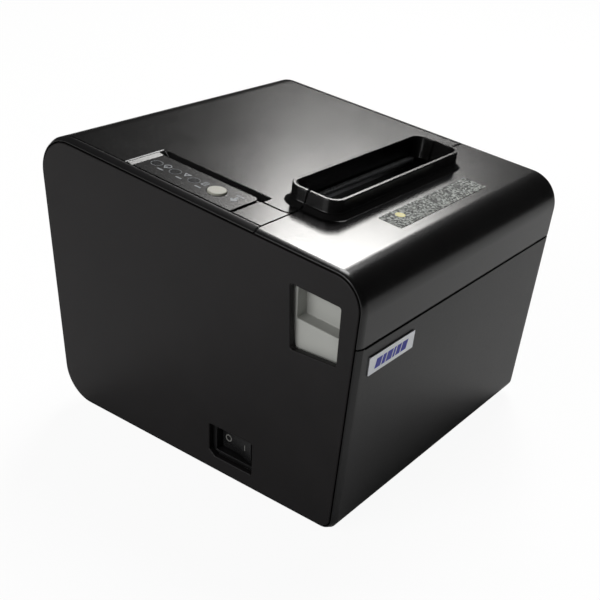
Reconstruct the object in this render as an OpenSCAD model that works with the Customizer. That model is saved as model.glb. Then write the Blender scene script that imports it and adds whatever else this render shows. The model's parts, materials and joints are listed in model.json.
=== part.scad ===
// Receipt printer for 80 mm thermal paper, built as an assembly of its real pieces.
// Millimetres. X runs to the right seen from the front, -Y is the front, +Z is up.
// The origin is under the middle of the body, on the surface that it stands on.

/* [Body] */
// Width over the two side panels
body_w = 145; // [144:0.5:148]
// Depth of the casing along its underside
base_d = 150.8; // [150:0.2:153]
// Height of the sloping top at the middle of the depth
top_z = 117.1; // [116.5:0.1:118.5]
// Slope of the top, down towards the front, in degrees
top_slope = 6; // [5.5:0.1:6.5]
// Overhang of the front face, in degrees from vertical
front_lean = 3.7; // [3:0.1:4.2]
// Overhang of the rear face, in degrees from vertical
rear_lean = 3.1; // [2.6:0.1:3.6]
// Height of the casing above the surface, on its feet
foot_h = 2.5; // [2:0.1:3]
// Thickness of the moulded walls
wall = 2.5; // [2.2:0.1:2.7]
// Height of the seam between the lower casing and the front cover
seam_z = 82.4; // [81:0.2:84]

/* [Side panels] */
// Thickness of a side panel
panel_t = 2.5; // [2:0.1:2.6]
// Width of the groove round a side panel
groove_w = 0.5; // [0.3:0.1:0.8]
// Inset of the bevelled rim's outer edge
rim_bevel = 1.1; // [0.8:0.1:1.4]

/* [Lid] */
// Distance of the lid's front edge ahead of the middle, along the slope
lid_front = 33.3; // [33:0.1:33.6]
// Gap round the lid
lid_gap = 0.4; // [0.3:0.05:0.5]
// Radius of the hinge pins
hinge_pin_r = 2; // [1.8:0.1:2.2]

/* [Paper exit] */
// Length of the collar round the paper exit
collar_l = 89; // [86:0.5:91]
// Width of the collar
collar_w = 23.4; // [22.6:0.1:24]
// Height of the collar above the top
collar_h = 7.2; // [6:0.2:8]
// Thickness of the collar's wall
collar_t = 1.7; // [1.4:0.1:2]

/* [Paper] */
// Width of the paper roll
paper_w = 80; // [79:0.5:80]
// Radius of the room for the paper roll
roll_r = 42; // [40:0.5:42]

/* [Printing mechanism] */
// Radius of the platen roller
platen_r = 5; // [4.9:0.05:5]
// Radius of the platen shaft
platen_shaft_r = 2.5; // [2.3:0.1:2.5]
// Module of the feed gears
feed_module = 0.6; // [0.59:0.005:0.61]

/* [Controls] */
// Diameter of the feed button
button_d = 7.4; // [7:0.1:7.6]
// Distance from one status light to the next
light_pitch = 9.8; // [9.4:0.1:10]
// Diameter of a status light
light_d = 4.2; // [3.6:0.1:4.4]

/* [Hidden] */
$fn = 64;
eps = 0.01;
far = 200;

// Finishes
black = [0.05, 0.05, 0.055];
soft_black = [0.12, 0.12, 0.125];
grey = [0.6, 0.6, 0.57];
silver = [0.75, 0.75, 0.76];
steel = [0.62, 0.63, 0.65];
brass = [0.78, 0.62, 0.3];
ivory = [0.85, 0.84, 0.76];
white = [0.92, 0.92, 0.9];
board_green = [0.05, 0.32, 0.16];
rubber = [0.08, 0.08, 0.08];

// Side outline of the casing: four straight sides that lean, with round corners
hw = body_w / 2;
front_y0 = -base_d / 2;
rear_y0 = base_d / 2;
tan_f = tan(front_lean);
tan_r = tan(rear_lean);
tan_t = tan(top_slope);
corner_r = [6, 16, 16.5, 13.5];
function front_y(z) = front_y0 - tan_f * (z - foot_h);
function rear_y(z) = rear_y0 + tan_r * (z - foot_h);
function top_at(y) = top_z + tan_t * y;
function rear_corner_y(d) =
    (rear_y(top_z - d / cos(top_slope)) - d / cos(rear_lean)) / (1 - tan_r * tan_t);
function front_corner_y(d) =
    (front_y(top_z - d / cos(top_slope)) + d / cos(front_lean)) / (1 + tan_f * tan_t);
function outline(d) = [
    [front_y(foot_h + d) + d / cos(front_lean), foot_h + d],
    [rear_y(foot_h + d) - d / cos(rear_lean), foot_h + d],
    [rear_corner_y(d), top_at(rear_corner_y(d)) - d / cos(top_slope)],
    [front_corner_y(d), top_at(front_corner_y(d)) - d / cos(top_slope)]];
function radii(d) = [for (r = corner_r) max(r - d, 0.6)];
function unit(v) = v / norm(v);

// Layers from the side panels inwards
panel_in = hw - panel_t;
web_in = panel_in - 1.2;
lid_hw = web_in - lid_gap;
wall_in = panel_in - 3.5;
rim_out = hw - 0.3;
rim_w = 1.5;
lid_clear = wall + 0.5;
top_cut_y = -lid_front * cos(top_slope);
cover_gap = 0.5;
seam_gap = 0.7;

// Hinge of the lid, and the platen straight ahead of it along the slope
hinge_u = 68.2;
axis_h = -20.3;
platen_u = -29.5;
skirt_z = 95;
rear_wall_z = 92.2;
hinge_y = hinge_u * cos(top_slope) - axis_h * sin(top_slope);
hinge_z = top_z + hinge_u * sin(top_slope) + axis_h * cos(top_slope);
lid_ear_in = wall_in - 8;
lid_ear_out = wall_in - 4.5;
ear_r = 5.6;
run_gap = 0.05;
pin_end = web_in - 0.8;

// Paper exit
collar_u = -35.9;
collar_r = 6;
split_lean = 1.1;
flare = 1.9;

// Control panel, along the slope
pocket_x0 = -50.4;
pocket_bevel = 2.8;
pocket_front = -20;
pocket_rear = 31.9;
pocket_low = -11;
strip_x = -53;
notch_r = 3;
plate_h = -1.1;
light_x = -58.9;
light_u0 = 27;
button_x = -59.2;
button_u = -4.5;

// Mechanism
frame_in = 44.5;
frame_t = 1.5;
frame_out = frame_in + frame_t;
platen_l = paper_w + 1;
shaft_end = [-51, 57];
bush_r = 4;
gear_x0 = 47.5;
gear_w = 4;
head_gap = 0.25;
head_u = platen_u - platen_r - head_gap;
sink_u = head_u - 1.1;
head_hw = paper_w / 2 + 0.5;
pivot_u = -38;
pivot_h = -28.5;
lock_u = -50.2;
lock_h = -23;
lock_r = 2;
platen_teeth = 16;
idler_teeth = 40;
pinion_teeth = 12;
idler_h = axis_h - feed_module * (platen_teeth + idler_teeth) / 2;
pinion_dir = 235;
pinion_c = feed_module * (idler_teeth + pinion_teeth) / 2;
pinion_u = platen_u + pinion_c * cos(pinion_dir);
pinion_h = idler_h + pinion_c * sin(pinion_dir);
motor_r = 13;
spring_x = [-24, 0, 24];
spring_h = -18;
back_u = -45.5;
head_top = -14;

// Cutter
blade_h = -10.5;
blade_t = 0.8;
cut_module = 0.8;
cut_teeth = 10;
cut_u = -62;
cut_r = cut_module * cut_teeth / 2;
cutter_t = 1.6;
cutter_low = blade_h - 0.25;

// Roll bay
roll_y = 25;
roll_z = 66;
bucket_t = 2;
bucket_hw = paper_w / 2 + 3.2;
deck_z = 80;
deck_t = 2.2;
eye_y = [20, 28];
eye_z = [40, 46];

// Rear connectors
bay_y = 58;
bay_z = 31;
bay_hw = 60;
board_z = 9;
board_t = 1.6;
port_z = board_z + board_t;
port_end = bay_y + 2.2;
// power, USB, network, serial and cash drawer: middle, width and height of each
port_x = [-46, -27, -4, 25.5, 49.5];
port_w = [14.8, 12, 16, 30.8, 13.4];
port_t = [14.8, 10.6, 13.6, 12.4, 12.6];

// Lever and switch on the left side
lever_x = -hw + 3.4;
lever_t = 2.5;
lever_y = [-74.6, -49.4];
lever_z = [72, 100.4];
ledge_z = 87.4;
lever_win = [[-50.4, 98.7], [-72.2, 96.5], [-71.8, 73.9], [-51.6, 73.5]];
switch_y = -24;
switch_z = 17.6;
switch_w = 22.4;
switch_t = 14.6;
rocker_w = 17;
rocker_t = 10.6;
rocker_turn = 7;
rocker_x = -panel_in + 4.7;
switch_deep = 10.4;

// Four feet and the two wall-mounting holes
foot_x = 56;
foot_y = [-60, 51.5];
wall_hole_x = 45;
wall_hole_y = -66;
wall_hole_r = 2.2;
wall_hole_deep = 10;
foot_r = 5.5;

// Screws: shank and pan head
screw_r = 1.5;
screw_l = 5;
screw_head_r = 2.8;
screw_head_t = 1.8;

// ---------------------------------------------------------------- shared forms

// Points of the arc that rounds corner i of a polygon
function corner_arc(pts, i, r) = let (
    n = len(pts),
    p = pts[i],
    a = unit(pts[(i + n - 1) % n] - p),
    b = unit(pts[(i + 1) % n] - p),
    half = acos(a * b) / 2,
    centre = p + unit(a + b) * r / sin(half),
    from = p + a * r / tan(half) - centre,
    to = p + b * r / tan(half) - centre,
    start = atan2(from[1], from[0]),
    sweep = (atan2(to[1], to[0]) - start + 540) % 360 - 180,
    steps = r > 3 ? 18 : 6)
    [for (k = [0:steps]) centre + r * [cos(start + sweep * k / steps), sin(start + sweep * k / steps)]];

// A polygon with its own radius at each corner
module rounded(pts, rad) {
    polygon([for (i = [0:len(pts) - 1]) each corner_arc(pts, i, rad[i])]);
}

// A rounded rectangle between two corners
module plan(x0, x1, y0, y1, r) {
    rounded([[x0, y0], [x1, y0], [x1, y1], [x0, y1]], [r, r, r, r]);
}

// Extrudes a side view, drawn as (y, z), from x0 to x1
module along_x(x0, x1) {
    translate([x0, 0, 0]) rotate([90, 0, 90]) linear_extrude(x1 - x0) children();
}

// Places children drawn as (x, distance up the slope, height over the top)
module on_slope() {
    translate([0, 0, top_z]) rotate([top_slope, 0, 0]) children();
}

module block(x0, x1, y0, y1, z0, z1) {
    translate([x0, y0, z0]) cube([x1 - x0, y1 - y0, z1 - z0]);
}

// A round bar along X
module rod(x0, x1, y, z, r) {
    translate([x0, y, z]) rotate([0, 90, 0]) cylinder(h = x1 - x0, r = r);
}

module both_sides() {
    children();
    mirror([1, 0, 0]) children();
}

// Whole outer form of the casing, with the bevelled rims that frame the side panels
module casing_form() {
    along_x(-panel_in, panel_in) rounded(outline(0), corner_r);
    both_sides() hull() {
        along_x(panel_in - eps, panel_in) rounded(outline(0), corner_r);
        along_x(rim_out - eps, rim_out) rounded(outline(rim_bevel), radii(rim_bevel));
    }
}

// Room for the two side panels and the groove round each
module panel_room() {
    both_sides() along_x(panel_in, hw + 1) rounded(outline(rim_w), radii(rim_w));
}

module cavity() {
    along_x(-wall_in, wall_in) rounded(outline(wall), radii(wall));
}

// Openings in the left wall behind the panel, for the lever and the switch
module left_openings() {
    block(-hw - 1, -wall_in + 1, -77, -44.6, 66, 103.4);
    block(-hw - 1, -wall_in + 1, switch_y - switch_w / 2, switch_y + switch_w / 2,
        switch_z - switch_t / 2, switch_z + switch_t / 2);
}

// Part of the casing that the separate front cover takes
module cover_zone(grow) {
    block(-far, far, -far, top_cut_y - cover_gap + grow, seam_z + seam_gap - grow, far);
}

// Round bar along a path of points; across is never parallel to the path
module tube(path, r, sides, across) {
    count = len(path);
    rings = [for (i = [0:count - 1]) let (
        t = unit(path[min(i + 1, count - 1)] - path[max(i - 1, 0)]),
        u = unit(cross(t, across)),
        v = cross(t, u))
        for (k = [0:sides - 1]) path[i] + r * (cos(360 * k / sides) * u + sin(360 * k / sides) * v)];
    skin = [for (i = [0:count - 2]) for (k = [0:sides - 1]) let (
        a = i * sides + k,
        b = i * sides + (k + 1) % sides)
        each [[a, b, b + sides], [a, b + sides, a + sides]]];
    first = [for (k = [sides - 1:-1:0]) k];
    last = [for (k = [0:sides - 1]) (count - 1) * sides + k];
    polyhedron(rings, concat(skin, [first, last]));
}

// Helical spring along Z from z = 0
module coil(r, wire, length, turns) {
    steps = turns * 12;
    pitch = (length - wire) / steps;
    tube([for (i = [0:steps]) [r * cos(30 * i), r * sin(30 * i), wire / 2 + pitch * i]],
        wire / 2, 6, [0, 0, 1]);
}

// Spur gear outline with involute flanks; thin is taken off each flank for backlash
add_k = 0.8;
ded_k = 1.15;
function inv(a) = tan(a) * 180 / PI - a;
function flank(r, rb, half) = half + inv(20) - inv(acos(min(1, rb / r)));
module gear_2d(m, teeth, bore_r, thin = 0.06) {
    r = m * teeth / 2;
    rb = r * cos(20);
    ra = r + add_k * m;
    rf = r - ded_k * m;
    half = 90 / teeth - thin / r * 180 / PI;
    r_low = max(rb, rf);
    steps = 5;
    radius = [for (k = [0:steps]) r_low + (ra - r_low) * k / steps];
    difference() {
        polygon([for (t = [0:teeth - 1]) let (c = 360 * t / teeth)
            for (q = concat(
                [[rf, -flank(r_low, rb, half)]],
                [for (k = [0:steps]) [radius[k], -flank(radius[k], rb, half)]],
                [for (k = [steps:-1:0]) [radius[k], flank(radius[k], rb, half)]],
                [[rf, flank(r_low, rb, half)]]))
                [q[0] * cos(c + q[1]), q[0] * sin(c + q[1])]]);
        circle(bore_r);
    }
}

// ---------------------------------------------------------------- casing

module lower_casing() {
    color(black) difference() {
        union() {
            // front, floor and rear as one bent wall
            difference() {
                along_x(-web_in - eps, web_in + eps) difference() {
                    rounded(outline(0), corner_r);
                    rounded(outline(wall), radii(wall));
                }
                block(-far, far, -far, 0, seam_z, far);
                block(-far, far, 0, far, rear_wall_z, far);
            }
            // tongue behind the front seam
            difference() {
                along_x(-wall_in, wall_in) difference() {
                    rounded(outline(wall - 0.2), radii(wall));
                    rounded(outline(wall + 1.2), radii(wall + 1.2));
                }
                block(-far, far, -far, far, -far, seam_z - 6);
                block(-far, far, 0, far, -far, far);
                block(-far, far, -far, 0, seam_z + 3, far);
            }
            // side walls inside the lid
            both_sides() difference() {
                along_x(wall_in, web_in + eps) rounded(outline(lid_clear), radii(lid_clear));
                block(0, far, 50, far, 84, far);
            }
            // web and rim that frame each side panel
            difference() {
                casing_form();
                block(-web_in, web_in, -far, far, -far, far);
            }
            both_sides() {
                // hinge ear, ledge for the deck and the rear bay's cheek
                rod(lid_ear_out + 0.5, web_in + eps, hinge_y, hinge_z, ear_r);
                block(wall_in - 3, wall_in + eps, -16, 66, deck_z - 3, deck_z);
                bay_cheek();
            }
            bay_shell();
            bosses();
        }
        panel_room();
        cover_zone(0.2);
        left_openings();
        rear_bay();
        on_slope() block(-web_in, -wall_in + 1, pocket_front - 0.5, pocket_rear + 0.5, pocket_low, 1);
        for (p = board_post) translate([p[0], p[1], board_z]) screw_hole();
        both_sides() for (p = frame_foot) translate([p[0], p[1], frame_z]) screw_hole();
        both_sides() rod(lid_ear_out, pin_end, hinge_y, hinge_z, hinge_pin_r);
        for (x = [-wall_hole_x, wall_hole_x]) {
            translate([x, wall_hole_y, foot_h - 1]) cylinder(h = wall_hole_deep + 1, r = wall_hole_r);
        }
        for (x = [-foot_x, foot_x]) for (y = foot_y) {
            translate([x, y, foot_h - 1]) cylinder(h = 2, r = foot_r + 0.1);
        }
    }
}

// Hole for a screw into the top of a boss at z = 0
module screw_hole() {
    translate([0, 0, 1 - screw_l]) cylinder(h = screw_l, r = screw_r + run_gap);
}

// Space at the rear for the cable plugs, open to the rear and below
module rear_bay() {
    block(-bay_hw, bay_hw, bay_y, far, -far, bay_z);
    block(-bay_hw + 3, bay_hw - 3, bay_y - wall - 1, bay_y + 1, board_z - 0.6, bay_z - 2.5);
}

module bay_shell() {
    intersection() {
        union() {
            block(-bay_hw - 2, bay_hw + 2, bay_y - 2, bay_y, foot_h, bay_z + 2);
            block(-bay_hw - 2, bay_hw + 2, bay_y - 2, far, bay_z, bay_z + 2);
        }
        along_x(-far, far) rounded(outline(1), radii(1));
    }
}

module bay_cheek() {
    intersection() {
        block(bay_hw, bay_hw + 2, bay_y - 2, far, foot_h, bay_z + 2);
        along_x(-far, far) rounded(outline(1), radii(1));
    }
}

board_post = [[-54, -10], [54, -10], [-54, 38], [54, 38]];
frame_foot = [[51.5, -52], [51.5, -28]];
frame_z = 12;
module bosses() {
    floor_z = foot_h + wall - 0.2;
    for (p = board_post) {
        translate([p[0], p[1], floor_z]) cylinder(h = board_z - floor_z, r = 3.4);
    }
    both_sides() for (p = frame_foot) {
        translate([p[0], p[1], floor_z]) cylinder(h = frame_z - floor_z, r = 4);
    }
    for (x = [-wall_hole_x, wall_hole_x]) {
        translate([x, wall_hole_y, floor_z]) cylinder(h = wall_hole_deep + 2 - wall, r = 5);
    }
}

module upper_front_cover() {
    color(soft_black) difference() {
        union() {
            intersection() {
                difference() {
                    casing_form();
                    cavity();
                }
                cover_zone(0);
            }
            // strip that runs back to the control panel
            on_slope() block(-lid_hw, strip_x, -lid_front - 2, pocket_front, -wall, 0);
            on_slope() translate([0, 0, -wall]) linear_extrude(wall) difference() {
                translate([strip_x - eps, -lid_front - 2]) square([notch_r, notch_r + 2]);
                translate([strip_x + 0.4 + notch_r, -lid_front + notch_r]) circle(notch_r + 0.4);
            }
            on_slope() collar(false);
        }
        panel_room();
        left_openings();
        on_slope() collar_hole();
    }
}

// The collar in plan, grown by g
module collar_plan(g) {
    plan(-collar_l / 2 - g, collar_l / 2 + g, collar_u - collar_w / 2 - g,
        collar_u + collar_w / 2 + g, collar_r + g);
}

// Half of the collar: the rear half belongs to the lid, the front half to the front cover
module collar(rear) {
    edge = rear ? -lid_front : -lid_front - cover_gap;
    side = rear ? far : -far;
    rim = collar_h + 1;
    intersection() {
        union() {
            linear_extrude(collar_h) collar_plan(0);
            hull() {
                translate([0, 0, -0.6]) linear_extrude(0.6) collar_plan(flare);
                linear_extrude(1.9) collar_plan(0.05);
            }
        }
        along_x(-far, far) polygon([
            [edge, -far], [edge, 0], [edge - split_lean, rim], [side, rim], [side, -far]]);
    }
}

module collar_hole() {
    translate([0, 0, -6]) linear_extrude(collar_h + 7) collar_plan(-collar_t);
}

module lid() {
    ear_top = -1.5;
    color(soft_black) difference() {
        union() {
            difference() {
                along_x(-lid_hw, lid_hw) difference() {
                    rounded(outline(0), corner_r);
                    rounded(outline(wall), radii(wall));
                }
                block(-far, far, -far, far, -far, skirt_z);
                on_slope() lid_cuts();
            }
            on_slope() {
                collar(true);
                both_sides() {
                    // hinge ear and the stiffening rib that runs forward from it
                    block(lid_ear_in, lid_ear_out, hinge_u - 5, hinge_u + 2.5, axis_h, ear_top - 4);
                    block(lid_ear_in, lid_ear_out, -18, hinge_u - 4, -8, -wall + 0.2);
                    rod(lid_ear_in, lid_ear_out, hinge_u, axis_h, ear_r);
                }
                block(-46.5, -44.5, -18, 40, -8, -wall + 0.2);
            }
        }
        on_slope() {
            collar_hole();
            both_sides() rod(lid_ear_in - 1, lid_ear_out + 1, hinge_u, axis_h, hinge_pin_r + run_gap);
            // the left ear's rib stops short of the control tray
            block(-lid_ear_out - 1, -lid_ear_in + 1, -19, pocket_rear, -9, 1);
            block(-lid_ear_out - 1, -lid_ear_in + 1, pocket_rear - 1, pocket_rear + 1.5, -9, -wall);
        }
    }
}

// Front edge of the lid and the bevelled notch round the control panel
module lid_cuts() {
    deep = -30;
    block(-far, far, -far, -lid_front, deep, 5);
    block(-far, strip_x + 0.4, -far, pocket_front, deep, 5);
    translate([0, 0, deep]) linear_extrude(5 - deep) difference() {
        translate([strip_x, -lid_front - 1]) square([notch_r + 0.4, notch_r + 1]);
        translate([strip_x + 0.4 + notch_r, -lid_front + notch_r]) circle(notch_r);
    }
    block(-far, pocket_x0, pocket_front - 1, pocket_rear, deep, 5);
    // bevels along the inner side and the rear of the notch
    rotate([90, 0, 0]) translate([0, 0, -pocket_rear]) linear_extrude(pocket_rear - pocket_front + 1)
        polygon([[pocket_x0 - 1, -wall], [pocket_x0, -wall], [pocket_x0 + pocket_bevel, eps],
            [pocket_x0 + pocket_bevel, 3], [pocket_x0 - 1, 3]]);
    along_x(-far, pocket_x0 + pocket_bevel)
        polygon([[pocket_rear - 1, -wall], [pocket_rear, -wall], [pocket_rear + pocket_bevel, eps],
            [pocket_rear + pocket_bevel, 3], [pocket_rear - 1, 3]]);
}

module side_panel_blank() {
    along_x(panel_in, hw) rounded(outline(rim_w + groove_w), radii(rim_w + groove_w));
}

module left_side_panel() {
    color(black) difference() {
        mirror([1, 0, 0]) side_panel_blank();
        along_x(-hw - 1, -panel_in + 1) rounded(lever_win, [1, 1, 1, 1]);
        along_x(-hw - 1, -panel_in + 1) switch_window();
    }
}

module right_side_panel() {
    color(black) side_panel_blank();
}

module switch_window() {
    y0 = switch_y - switch_w / 2;
    y1 = switch_y + switch_w / 2;
    z0 = switch_z - switch_t / 2;
    z1 = switch_z + switch_t / 2;
    rounded([[y0, z0], [y1 - 3, z0], [y1, z0 + 2.4], [y1, z1], [y0, z1]], [0.8, 0.8, 0.8, 0.8, 0.8]);
}

module rubber_feet() {
    color(rubber) for (x = [-foot_x, foot_x]) for (y = foot_y) {
        translate([x, y, 0]) cylinder(h = 0.6, r1 = foot_r - 0.5, r2 = foot_r);
        translate([x, y, 0.6]) cylinder(h = foot_h + 0.4, r = foot_r);
    }
}

module hinge_pins() {
    color(steel) both_sides() rod(lid_ear_in - 0.5, pin_end, hinge_y, hinge_z, hinge_pin_r);
}

module badge_plate() {
    // bare metallic plate on the front, tilted with the front face
    z_top = 78;
    badge_t = 0.6;
    badge_h = 7.6;
    color(silver) translate([0, front_y(z_top), z_top]) rotate([front_lean, 0, 0])
        rotate([90, 0, 0]) linear_extrude(badge_t) plan(-65.2, -36.6, -badge_h, 0, 0.5);
}

module speckle_label() {
    glue_t = 0.02;
    foil_t = 0.14;
    color(silver) on_slope() translate([0, 0, glue_t]) linear_extrude(foil_t)
        plan(-28, 34.5, -66, -55.6, 0.6);
}

// ---------------------------------------------------------------- control panel

function light_u(i) = light_u0 - i * light_pitch;

module panel_holes(clear) {
    for (i = [0:2]) translate([light_x, light_u(i), -9]) cylinder(h = 12, r = light_d / 2 + clear);
    translate([button_x, button_u, -9]) cylinder(h = 12, r = button_d / 2 + clear + 0.1);
}

module control_tray() {
    color(black) on_slope() difference() {
        block(-web_in + eps, pocket_x0 - 0.4, pocket_front + 0.3, pocket_rear - 0.4, -8.6, plate_h - 0.5);
        block(-web_in + 1.6, pocket_x0 - 2, pocket_front + 2, pocket_rear - 2, -9, -3.4);
        panel_holes(0.1);
    }
}

module control_plate() {
    color(soft_black) on_slope() difference() {
        translate([0, 0, plate_h - 0.5]) linear_extrude(0.5)
            plan(-68, pocket_x0 - 0.7, pocket_front + 1.6, pocket_rear - 0.7, 0.8);
        panel_holes(0.1);
    }
}

module status_light(i) {
    color(ivory) on_slope() translate([light_x, light_u(i), 0]) {
        translate([0, 0, -4.2]) cylinder(h = 4.2 + plate_h + 0.15, r = light_d / 2);
        translate([0, 0, -4.3]) cylinder(h = 0.8, r = light_d / 2 + 0.7);
    }
}

module power_light() {
    status_light(0);
}

module error_light() {
    status_light(1);
}

module paper_light() {
    status_light(2);
}

module feed_button() {
    color(ivory) on_slope() translate([button_x, button_u, 0]) {
        translate([0, 0, -4]) cylinder(h = 4 + plate_h + 0.7, r = button_d / 2);
        translate([0, 0, -4.3]) cylinder(h = 0.8, r = button_d / 2 + 0.9);
        translate([0, 0, -5.4]) cylinder(h = 1.2, r = 1.4);
    }
}

panel_board_h = -9.8;
module panel_board() {
    color(board_green) on_slope()
        block(-web_in + 0.8, pocket_x0 - 1.2, pocket_front + 1.2, pocket_rear - 1.2,
            panel_board_h, panel_board_h + 1.2);
}

module feed_switch() {
    color(soft_black) on_slope() translate([button_x, button_u, panel_board_h + 1.2]) {
        translate([-3, -3, 0]) cube([6, 6, 1.6]);
        cylinder(h = 2.25, r = 1.6);
    }
}

// ---------------------------------------------------------------- parts on the lid

module tear_bar() {
    teeth = 38;
    pitch = 2;
    color(steel) on_slope() translate([-teeth * pitch / 2, -28.2, -4.4]) {
        translate([-1, 0, 0]) cube([teeth * pitch + 2, 1.6, 3.4]);
        translate([0, 0, 2.2]) linear_extrude(1.2) polygon(concat([[0, 0.2]],
            [for (i = [0:teeth - 1]) each [[i * pitch, 0], [(i + 0.5) * pitch, -1.2]]],
            [[teeth * pitch, 0.2]]));
    }
}

arm_right = [53, 56];
arm_left = [-50, -47.5];
beam_u0 = -27.4;
beam_u1 = -21;
module platen_holder() {
    color(black) on_slope() difference() {
        union() {
            block(arm_left[0], arm_right[1], beam_u0, beam_u1, blade_h - 0.3, -wall - 1.9);
            holder_arm(arm_left);
            holder_arm(arm_right);
            // pads between the beam and the lid's skin
            block(-49, -46, beam_u0 + 1, beam_u1, -wall - 2, -wall);
            block(46, 54, beam_u0 + 1, beam_u1, -wall - 2, -wall);
        }
        rod(arm_left[0] - 1, arm_left[1] + 1, platen_u, axis_h, platen_shaft_r + run_gap);
        rod(arm_right[0] - 1, arm_right[1] + 1, platen_u, axis_h, platen_shaft_r + run_gap);
    }
}

module holder_arm(x) {
    along_x(x[0], x[1]) hull() {
        translate([platen_u, axis_h]) circle(5.4, $fn = 48);
        translate([beam_u0, -8]) square([beam_u1 - beam_u0, 3.6]);
    }
}

module fixed_blade() {
    color(steel) on_slope() block(-43, 43, platen_u - platen_r + 0.6, beam_u1, blade_h - 1.3, blade_h - 0.3);
}

module platen_shaft() {
    color(steel) on_slope() rod(shaft_end[0], shaft_end[1], platen_u, axis_h, platen_shaft_r);
}

module platen_rubber() {
    color(rubber) on_slope() difference() {
        rod(-platen_l / 2, platen_l / 2, platen_u, axis_h, platen_r);
        rod(-platen_l, platen_l, platen_u, axis_h, platen_shaft_r);
    }
}

module platen_bushes() {
    color(white) on_slope() both_sides() difference() {
        union() {
            rod(frame_in - 0.2, frame_out + 0.2, platen_u, axis_h, bush_r);
            rod(frame_in - 0.7, frame_in - 0.2 + eps, platen_u, axis_h, bush_r + 0.4);
        }
        rod(frame_in - 2, frame_out + 2, platen_u, axis_h, platen_shaft_r + run_gap);
    }
}

// Feed gears stand on the right side, outside the frame
module feed_gear(teeth, u, h, bore_r, turn) {
    on_slope() translate([gear_x0, u, h]) rotate([90, 0, 90]) linear_extrude(gear_w)
        rotate(turn) gear_2d(feed_module, teeth, bore_r);
}

module platen_gear() {
    // a tooth points straight down at the idler
    color(white) feed_gear(platen_teeth, platen_u, axis_h, platen_shaft_r, -90);
}

module idler_gear() {
    // a gap points straight up at the platen gear
    color(white) feed_gear(idler_teeth, platen_u, idler_h, 2 + run_gap, 90 + 180 / idler_teeth);
}

// ---------------------------------------------------------------- mechanism frame

// Turns a point on the slope's side view into (y, z)
function flat(u, h) = [u * cos(top_slope) - h * sin(top_slope),
    top_z + u * sin(top_slope) + h * cos(top_slope)];

module slot_2d() {
    // seat for a bush, open upwards along the path of the lid
    translate([0, top_z]) rotate(top_slope) {
        translate([platen_u, axis_h]) circle(bush_r + 0.1);
        translate([platen_u - bush_r - 0.1, axis_h]) square([2 * bush_r + 0.8, 30]);
    }
}

module frame_plate() {
    along_x(frame_in, frame_out) difference() {
        polygon([[-58, frame_z], [-22, frame_z], [-19.6, 70], flat(-21, -18), flat(-41, -12.5),
            flat(-58.5, -12.5), [-60, 60]]);
        slot_2d();
        translate(flat(lock_u, lock_h)) circle(lock_r + run_gap);
        translate(flat(pivot_u, pivot_h)) circle(1.5 + run_gap);
        translate([-40, 36]) circle(11);
    }
    block(frame_in, frame_out + 9, -58, -22, frame_z, frame_z + frame_t);
}

module frame_screw_holes() {
    both_sides() for (p = frame_foot) {
        translate([p[0], p[1], frame_z - 1]) cylinder(h = 4, r = screw_r + 0.1);
    }
}

module side_frame_right() {
    color(steel) difference() {
        frame_plate();
        frame_screw_holes();
        on_slope() {
            rod(frame_in - 1, frame_out + 1, platen_u, idler_h, 1.6);
            rod(frame_in - 1, frame_out + 1, pinion_u, pinion_h, 3.6);
        }
    }
}

module side_frame_left() {
    color(steel) difference() {
        mirror([1, 0, 0]) frame_plate();
        frame_screw_holes();
    }
}

module cross_plate() {
    color(steel) on_slope() {
        block(-frame_in, frame_in, back_u - frame_t, back_u, -36, -31);
        block(-head_hw, head_hw, back_u - frame_t, back_u, -31 - eps, head_top);
        // spring seats
        for (x = spring_x) {
            translate([x, back_u - eps, spring_h]) rotate([-90, 0, 0]) cylinder(h = 1.6, r = 1.5);
        }
    }
}

module print_head() {
    color(ivory) on_slope() block(-head_hw, head_hw, sink_u, head_u, -27, head_top);
}

sink_front = -40;
module heat_sink() {
    fin_deep = 1.6;
    fin_low = -25.5;
    fin_pitch = 1.3;
    fin_gap = 0.6;
    color(silver) on_slope() {
        difference() {
            block(-head_hw, head_hw, sink_front, sink_u, -31, head_top + 0.5);
            for (i = [0:8]) {
                block(-head_hw - 1, head_hw + 1, sink_front - 1, sink_front + fin_deep,
                    fin_low + i * fin_pitch, fin_low + i * fin_pitch + fin_gap);
            }
        }
        both_sides() rod(head_hw - 1, frame_out + 0.6, pivot_u, pivot_h, 1.5);
    }
}

module head_springs() {
    color(steel) on_slope() for (x = spring_x) {
        translate([x, back_u, spring_h]) rotate([-90, 0, 0]) coil(2.2, 0.6, sink_front - back_u, 4);
    }
}

module idler_stud() {
    color(steel) on_slope() {
        rod(frame_in, frame_out + eps, platen_u, idler_h, 1.6);
        rod(frame_out, gear_x0 - 0.3, platen_u, idler_h, 3.5);
        rod(gear_x0 - 0.3 - eps, gear_x0 + gear_w + 0.3, platen_u, idler_h, 2);
        rod(gear_x0 + gear_w + 0.3, gear_x0 + gear_w + 1.1, platen_u, idler_h, 3);
    }
}

module feed_motor() {
    color(steel) on_slope() {
        difference() {
            union() {
                rod(22, frame_in - 1, pinion_u, pinion_h, motor_r);
                rod(frame_in - 1 - eps, frame_in, pinion_u, pinion_h, motor_r + 2);
                rod(frame_in - eps, frame_out + 0.8, pinion_u, pinion_h, 3.5);
            }
            rod(frame_in - 9, frame_out + 2, pinion_u, pinion_h, 1 + run_gap);
        }
    }
}

module motor_pinion() {
    // placed so that its tooth fills a gap of the idler on the line between them
    lead = (pinion_dir - 90 - 180 / idler_teeth) * idler_teeth / pinion_teeth;
    turn = pinion_dir + 180 + 180 / pinion_teeth + lead;
    color(brass) {
        feed_gear(pinion_teeth, pinion_u, pinion_h, 1, turn);
        on_slope() rod(frame_in - 8, gear_x0 + gear_w + 0.5, pinion_u, pinion_h, 1);
    }
}

// ---------------------------------------------------------------- cutter

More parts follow.
